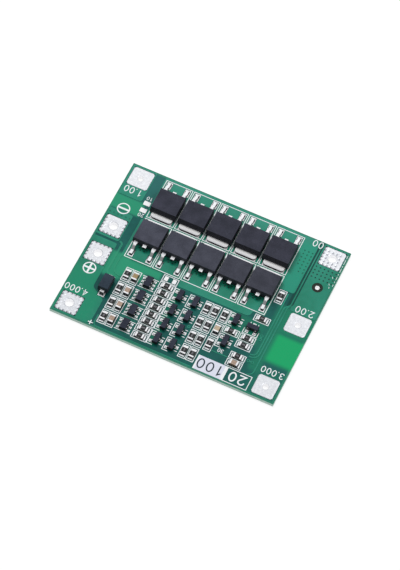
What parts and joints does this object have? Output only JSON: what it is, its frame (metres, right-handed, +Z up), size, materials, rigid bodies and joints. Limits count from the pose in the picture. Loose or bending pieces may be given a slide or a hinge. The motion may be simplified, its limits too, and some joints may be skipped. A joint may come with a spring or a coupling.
{
  "type": "battery management board",
  "caption": "Flat green circuit board with two rows of power transistors, four equal channels of small chips and square soldering terminals along its short edges.",
  "frame": {"origin": "middle of the board in plan, at the undersides of its bottom plates", "axes": "+X along the board, with the output terminals at -X; +Y from the front edge to the edge beside the power transistors; +Z up from the underside to the parts"},
  "size_m": [0.056, 0.045, 0.0035],
  "materials": {
    "laminate": "glossy solder mask over glass laminate",
    "masked_copper": "glossy green mask over copper",
    "white_print": "matt",
    "tinned_land": "bright tin",
    "tinned_terminal": "uneven tin",
    "solder": "bright",
    "power_moulding": "matt",
    "small_moulding": "matt",
    "lead_metal": "matt tin",
    "resistor_chip": "black glaze on white ceramic",
    "chip_metal": "bright tin",
    "capacitor_ceramic": "satin"
  },
  "bodies": {
    "root": {"circuit_board": "laminate", "copper_layer_top": "masked_copper", "copper_layer_bottom": "masked_copper", "legend_print": "white_print", "footprint_lands": "tinned_land", "solder_fillets": "solder", "terminal_tap_0": "tinned_terminal", "terminal_tap_1": "tinned_terminal", "terminal_tap_2": "tinned_terminal", "terminal_tap_3": "tinned_terminal", "terminal_tap_4": "tinned_terminal", "terminal_output_minus": "tinned_terminal", "terminal_output_plus": "tinned_terminal", "mosfet_body_1": "power_moulding", "mosfet_body_2": "power_moulding", "mosfet_body_3": "power_moulding", "mosfet_body_4": "power_moulding", "mosfet_body_5": "power_moulding", "mosfet_body_6": "power_moulding", "mosfet_body_7": "power_moulding", "mosfet_body_8": "power_moulding", "mosfet_body_9": "power_moulding", "mosfet_body_10": "power_moulding", "mosfet_leadframe_1": "lead_metal", "mosfet_leadframe_2": "lead_metal", "mosfet_leadframe_3": "lead_metal", "mosfet_leadframe_4": "lead_metal", "mosfet_leadframe_5": "lead_metal", "mosfet_leadframe_6": "lead_metal", "mosfet_leadframe_7": "lead_metal", "mosfet_leadframe_8": "lead_metal", "mosfet_leadframe_9": "lead_metal", "mosfet_leadframe_10": "lead_metal", "monitor_chip_1": "small_moulding", "monitor_chip_2": "small_moulding", "monitor_chip_3": "small_moulding", "monitor_chip_4": "small_moulding", "monitor_chip_leads_1": "lead_metal", "monitor_chip_leads_2": "lead_metal", "monitor_chip_leads_3": "lead_metal", "monitor_chip_leads_4": "lead_metal", "balance_transistors": "small_moulding", "balance_transistor_leads": "lead_metal", "shift_transistors": "small_moulding", "shift_transistor_leads": "lead_metal", "control_transistors": "small_moulding", "control_transistor_leads": "lead_metal", "supply_resistors": "resistor_chip", "supply_resistor_ends": "chip_metal", "bleed_resistors": "resistor_chip", "bleed_resistor_ends": "chip_metal", "gate_resistors": "resistor_chip", "gate_resistor_ends": "chip_metal", "control_resistors": "resistor_chip", "control_resistor_ends": "chip_metal", "filter_capacitors": "capacitor_ceramic", "filter_capacitor_ends": "chip_metal", "input_diode": "power_moulding", "input_diode_leads": "lead_metal"}
  },
  "joints": []
}
